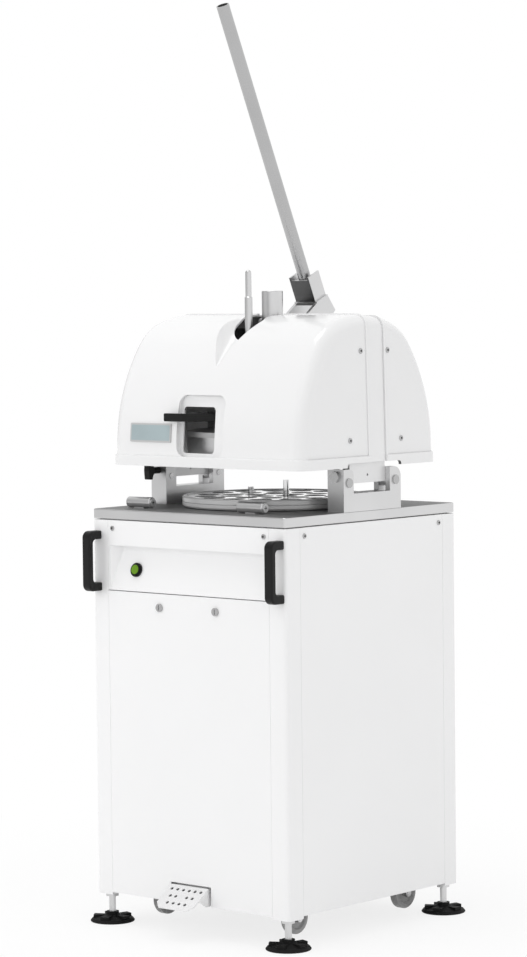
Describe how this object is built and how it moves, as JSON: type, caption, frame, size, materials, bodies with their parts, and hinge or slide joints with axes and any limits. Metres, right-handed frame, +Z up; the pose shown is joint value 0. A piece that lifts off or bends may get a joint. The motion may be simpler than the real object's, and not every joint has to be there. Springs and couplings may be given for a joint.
{
  "type": "divider rounder",
  "caption": "Floor-standing dough divider and rounder: sheet-metal cabinet on levelling feet, orbiting plate, domed tilting head and tall bent hand lever.",
  "frame": {"origin": "floor, under the middle of the machine's outline", "axes": "+Z up, -Y to the front where the operator stands, +X to the operator's right"},
  "size_m": [0.655, 0.7135, 2.1561],
  "materials": {
    "sheet": "satin light grey enamel",
    "moulding": "smooth white moulded cover",
    "steel": "turned and brushed steel",
    "stainless": "stainless sheet, fine brushed",
    "casting": "grey painted casting",
    "frame_grey": "satin light grey enamel",
    "black": "black moulded plastic",
    "green": "green push button",
    "food_plastic": "white food-grade plastic",
    "wheel": "grey nylon wheel",
    "belt": "black rubber belt",
    "motor_paint": "dark motor enamel",
    "alloy": "machined aluminium"
  },
  "bodies": {
    "cabinet": {"frame": "frame_grey", "console_panel": "sheet", "front_door": "sheet", "left_side_panel": "sheet", "right_side_panel": "sheet", "rear_panel": "sheet", "tray": "stainless", "left_handle": "black", "right_handle": "black", "panel_screws": "steel", "button_bezel": "black", "left_upright": "alloy", "right_upright": "alloy", "bracket_pins": "steel", "drive_plate": "steel", "motor": "motor_paint", "shaft_housing": "casting", "stop_bars": "steel", "foot_spindles": "steel", "pedal_shaft": "steel", "front_left_foot": "black", "front_right_foot": "black", "rear_left_foot": "black", "rear_right_foot": "black", "pedal_spring": "steel", "drive_belt": "belt"},
    "head": {"head_yoke": "alloy", "pivot_pins": "steel", "front_cover": "moulding", "rear_cover": "moulding", "cover_band": "moulding", "cover_screws": "steel"},
    "lever": {"lever_fork": "steel", "lever_socket": "alloy", "lever_tube": "stainless"},
    "press": {"press_column": "steel", "press_plate": "alloy", "crown_ring": "alloy", "divider_knives": "stainless"},
    "rod": {"control_rod": "steel"},
    "setting": {"setting_lever": "black"},
    "knob": {"clamp_knob": "black"},
    "button": {"start_button": "green"},
    "lock_left": {"left_door_lock": "steel"},
    "lock_right": {"right_door_lock": "steel"},
    "foot_pedal": {"pedal": "stainless"},
    "crank": {"crank_shaft": "steel", "drive_pulley": "casting"},
    "table": {"orbit_table": "casting", "plate_ring": "alloy", "dough_plate": "food_plastic"},
    "motor_shaft": {"motor_pulley": "steel"},
    "swivel_front_left": {"front_left_caster_fork": "steel"},
    "wheel_front_left": {"front_left_wheel": "wheel"},
    "swivel_front_right": {"front_right_caster_fork": "steel"},
    "wheel_front_right": {"front_right_wheel": "wheel"},
    "swivel_rear_left": {"rear_left_caster_fork": "steel"},
    "wheel_rear_left": {"rear_left_wheel": "wheel"},
    "swivel_rear_right": {"rear_right_caster_fork": "steel"},
    "wheel_rear_right": {"rear_right_wheel": "wheel"}
  },
  "joints": [
    {"name": "head_tilt", "type": "hinge", "parent": "cabinet", "child": "head", "pos_m": [0, 0.10288, 1.049], "axis": [1, 0, 0], "range_deg": [-28, 0]},
    {"name": "lever_pull", "type": "hinge", "parent": "head", "child": "lever", "pos_m": [0, 0.11838, 1.377], "axis": [1, 0, 0], "range_deg": [0, 37]},
    {"name": "press_slide", "type": "slide", "parent": "head", "child": "press", "axis": [0, 0, -1], "range_m": [0, 0.0657]},
    {"name": "rod_swing", "type": "hinge", "parent": "head", "child": "rod", "pos_m": [0, -0.06662, 1.262], "axis": [1, 0, 0], "range_deg": [0, 11]},
    {"name": "setting_turn", "type": "hinge", "parent": "head", "child": "setting", "pos_m": [0.015, -0.17762, 1.19], "axis": [0, 0, 1], "range_deg": [0, 24]},
    {"name": "knob_turn", "type": "hinge", "parent": "cabinet", "child": "knob", "pos_m": [-0.276, -0.08562, 1.063], "axis": [0, 1, 0], "range_deg": [-180, 180]},
    {"name": "button_press", "type": "slide", "parent": "cabinet", "child": "button", "axis": [0, 0.9714, -0.2375], "range_m": [0, 0.003], "stiffness_N_per_m": 400},
    {"name": "lock_left_turn", "type": "hinge", "parent": "cabinet", "child": "lock_left", "pos_m": [-0.087, -0.29162, 0.759], "axis": [0, 1, 0], "range_deg": [0, 90]},
    {"name": "lock_right_turn", "type": "hinge", "parent": "cabinet", "child": "lock_right", "pos_m": [0.087, -0.29162, 0.759], "axis": [0, 1, 0], "range_deg": [0, 90]},
    {"name": "pedal_press", "type": "hinge", "parent": "cabinet", "child": "foot_pedal", "pos_m": [0, -0.26662, 0.108], "axis": [1, 0, 0], "range_deg": [0, 10], "stiffness_Nm_per_rad": 20, "deforming": ["pedal_spring"]},
    {"name": "crank_spin", "type": "hinge", "parent": "cabinet", "child": "crank", "pos_m": [0, 0.00838, 0.7], "axis": [0, 0, 1], "continuous": true},
    {"name": "table_orbit", "type": "hinge", "parent": "crank", "child": "table", "pos_m": [0, 0.01838, 0.93], "axis": [0, 0, 1], "continuous": true},
    {"name": "motor_spin", "type": "hinge", "parent": "cabinet", "child": "motor_shaft", "pos_m": [0.14, 0.16838, 0.7], "axis": [0, 0, 1], "continuous": true},
    {"name": "swivel_front_left_turn", "type": "hinge", "parent": "cabinet", "child": "swivel_front_left", "pos_m": [-0.2, -0.18162, 0.095], "axis": [0, 0, 1], "continuous": true},
    {"name": "wheel_front_left_roll", "type": "hinge", "parent": "swivel_front_left", "child": "wheel_front_left", "pos_m": [-0.2, -0.15762, 0.0475], "axis": [1, 0, 0], "continuous": true},
    {"name": "swivel_front_right_turn", "type": "hinge", "parent": "cabinet", "child": "swivel_front_right", "pos_m": [0.2, -0.18162, 0.095], "axis": [0, 0, 1], "continuous": true},
    {"name": "wheel_front_right_roll", "type": "hinge", "parent": "swivel_front_right", "child": "wheel_front_right", "pos_m": [0.2, -0.15762, 0.0475], "axis": [1, 0, 0], "continuous": true},
    {"name": "swivel_rear_left_turn", "type": "hinge", "parent": "cabinet", "child": "swivel_rear_left", "pos_m": [-0.2, 0.21838, 0.095], "axis": [0, 0, 1], "continuous": true},
    {"name": "wheel_rear_left_roll", "type": "hinge", "parent": "swivel_rear_left", "child": "wheel_rear_left", "pos_m": [-0.2, 0.24238, 0.0475], "axis": [1, 0, 0], "continuous": true},
    {"name": "swivel_rear_right_turn", "type": "hinge", "parent": "cabinet", "child": "swivel_rear_right", "pos_m": [0.2, 0.21838, 0.095], "axis": [0, 0, 1], "continuous": true},
    {"name": "wheel_rear_right_roll", "type": "hinge", "parent": "swivel_rear_right", "child": "wheel_rear_right", "pos_m": [0.2, 0.24238, 0.0475], "axis": [1, 0, 0], "continuous": true}
  ],
  "couplings": [
    {"joint": "press_slide", "follows": "lever_pull", "m_per_rad": 0.1017},
    {"joint": "table_orbit", "follows": "crank_spin", "ratio": -1},
    {"joint": "motor_spin", "follows": "crank_spin", "ratio": 3.1429}
  ]
}
